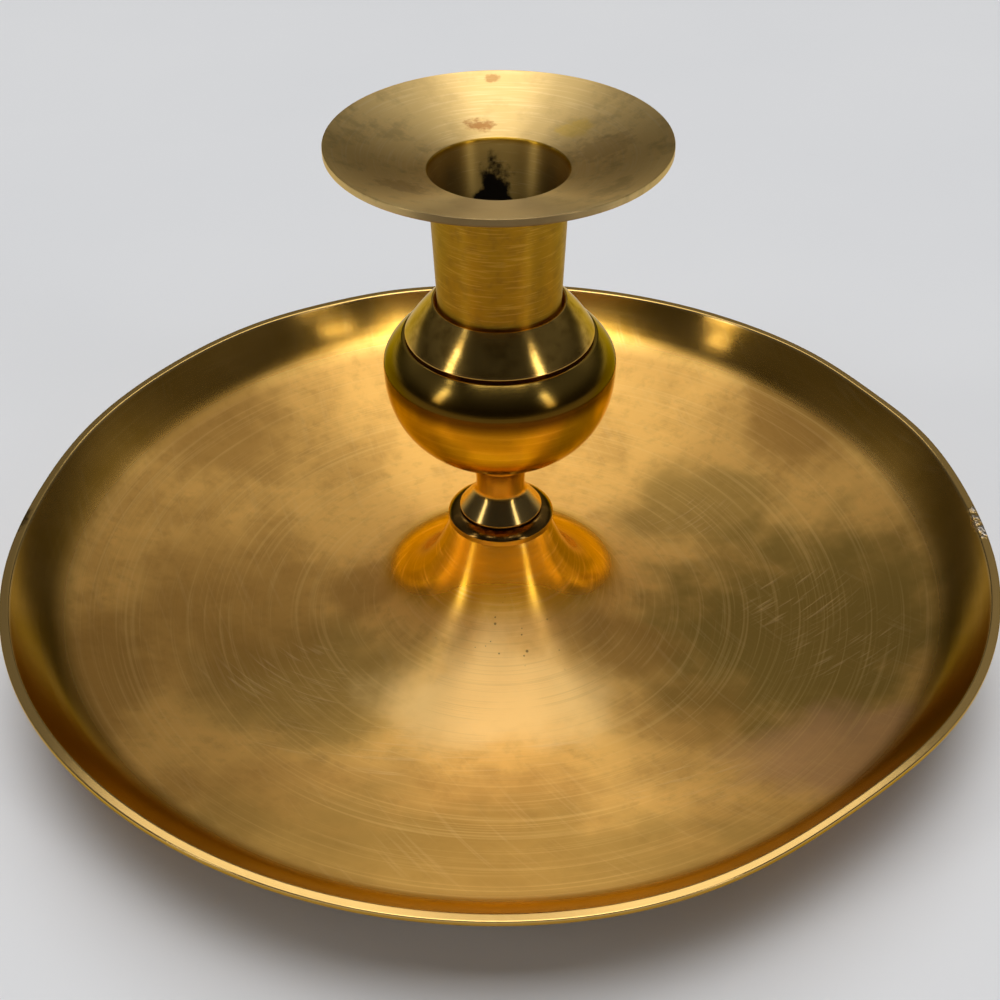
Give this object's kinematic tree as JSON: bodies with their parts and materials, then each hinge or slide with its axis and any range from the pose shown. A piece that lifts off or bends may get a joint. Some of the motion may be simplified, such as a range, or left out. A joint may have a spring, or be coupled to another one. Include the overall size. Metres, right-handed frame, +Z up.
{
  "type": "chamberstick",
  "caption": "Turned brass chamberstick: a wide shallow dish sweeps up into a trumpet that carries a stem, a round knop and a lift-out candle socket under a flared drip pan.",
  "frame": {"origin": "middle of the plane that the foot ring rests on", "axes": "+Z up along the axis that every piece is turned about; X and Y are free, since the object is round"},
  "size_m": [0.1724, 0.1724, 0.0943],
  "materials": {
    "dish": "satin turned brass with a light brown patina and fine circular scratches",
    "collar": "polished turned brass",
    "stem": "polished turned brass",
    "knop_bowl": "polished turned brass",
    "knop_cap": "polished turned brass",
    "nozzle": "satin turned brass, with soot and brown stains at the candle mouth",
    "bolt": "plain steel, darkened"
  },
  "bodies": {
    "base": {"dish": "dish", "collar": "collar", "stem": "stem", "knop_bowl": "knop_bowl", "knop_cap": "knop_cap", "tie_bolt": "bolt", "bolt_washer": "bolt", "bolt_nut": "bolt"},
    "nozzle": {"nozzle": "nozzle"}
  },
  "joints": [
    {"name": "nozzle_lift", "type": "slide", "parent": "base", "child": "nozzle", "axis": [0, 0, 1], "range_m": [0, 0.025]}
  ]
}
